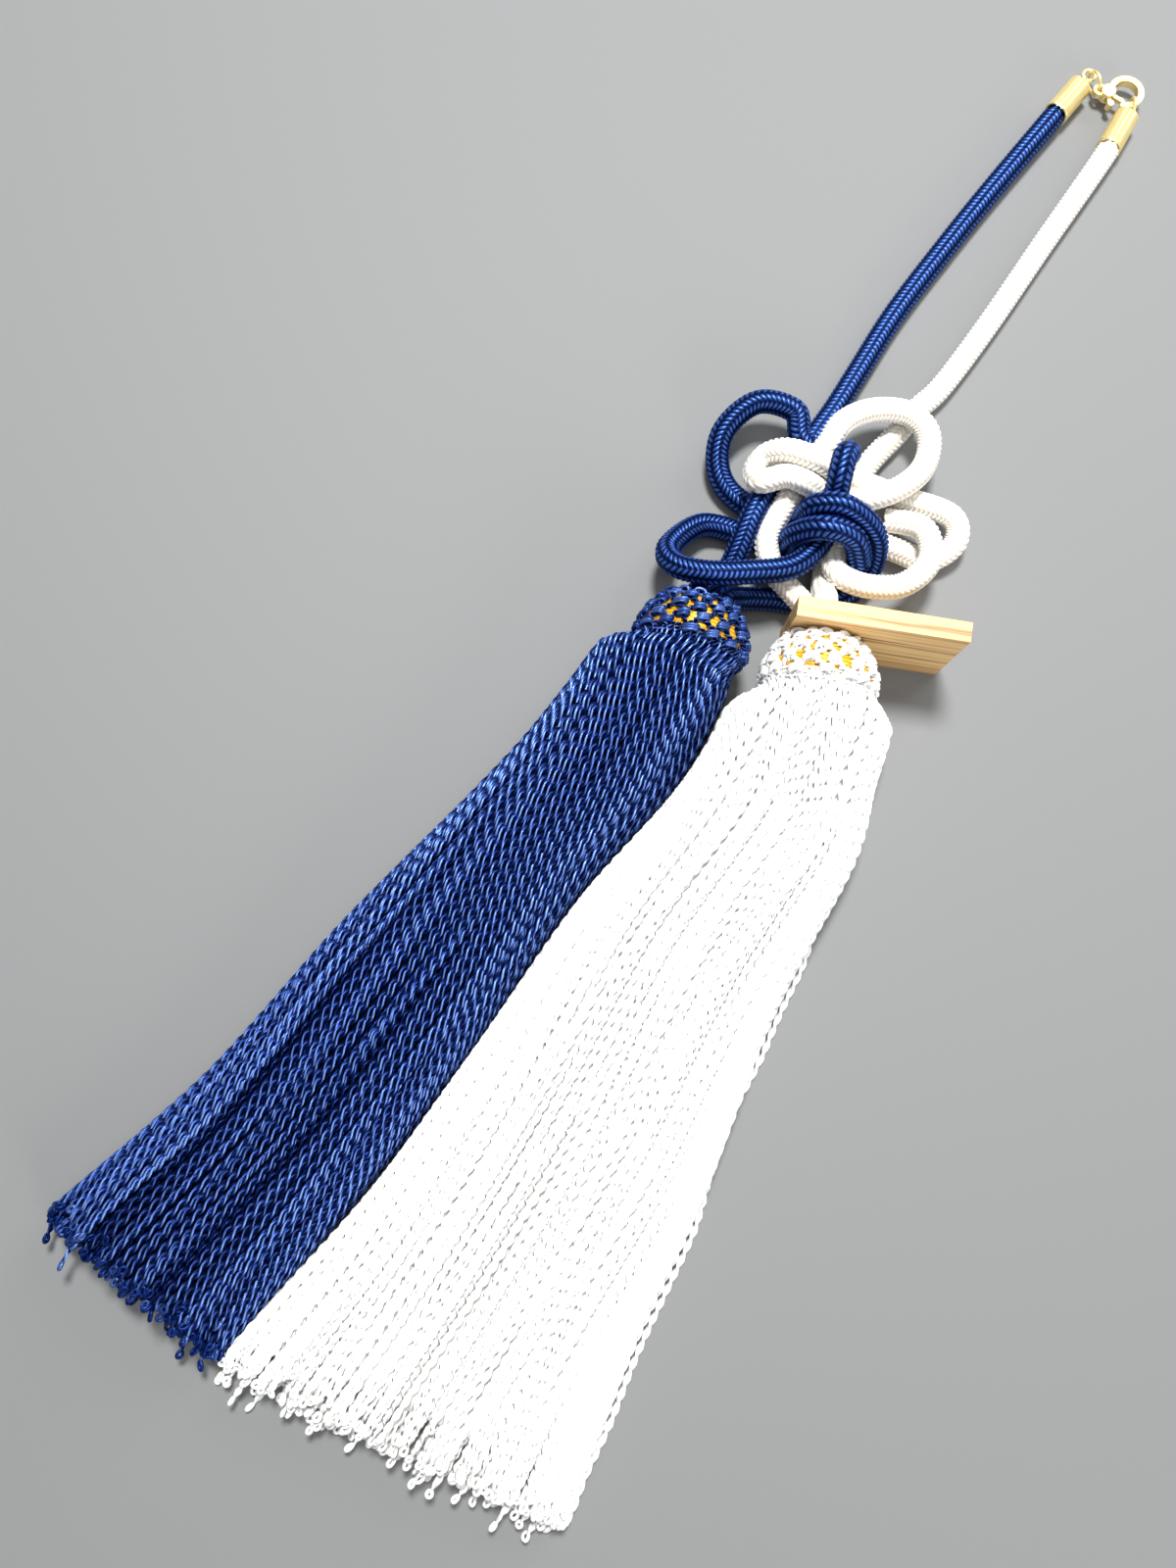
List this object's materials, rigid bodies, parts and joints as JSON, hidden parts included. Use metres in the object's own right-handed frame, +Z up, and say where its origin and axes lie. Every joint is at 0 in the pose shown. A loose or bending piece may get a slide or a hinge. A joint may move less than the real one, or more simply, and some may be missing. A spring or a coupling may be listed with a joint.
{
  "type": "knotted cord tassel",
  "caption": "Two-colour knotted cord ornament with netted tassel heads, long fringes, a small wooden plate and a lobster clasp.",
  "frame": {"origin": "on the surface, under the middle of the whole piece", "axes": "+Z up, +Y from the ends of the fringe to the clasp, +X to the right seen from above with the clasp at the top"},
  "size_m": [0.1149, 0.339, 0.025],
  "materials": {
    "navy_braid": "satin round braid of navy rayon",
    "white_braid": "satin round braid of ivory white rayon",
    "gold_metal": "polished gold plating",
    "bare_wood": "bare planed pale softwood with fine straight grain",
    "navy_thread": "two-ply twisted navy rayon thread",
    "white_thread": "two-ply twisted ivory white rayon thread",
    "gold_thread": "wound gold yellow thread with a soft shine"
  },
  "bodies": {
    "tassel": {"navy_cord": "navy_braid", "navy_knot_cord": "navy_braid", "white_cord": "white_braid", "white_knot_cord": "white_braid", "navy_cord_cap": "gold_metal", "white_cord_cap": "gold_metal", "jump_ring": "gold_metal", "clasp_body": "gold_metal", "wood_plate": "bare_wood", "navy_head_kernel": "gold_thread", "navy_head_net": "navy_thread", "white_head_kernel": "gold_thread", "white_head_net": "white_thread", "navy_skirt": "navy_thread", "white_skirt": "white_thread"},
    "lever": {"clasp_lever": "gold_metal"}
  },
  "joints": [
    {"name": "lever_pivot", "type": "hinge", "parent": "tassel", "child": "lever", "pos_m": [0.0029, 0.1634, 0.0031], "axis": [0, 0, 1], "range_deg": [0, 25], "stiffness_Nm_per_rad": 0.005, "springref_deg": -22.92}
  ]
}
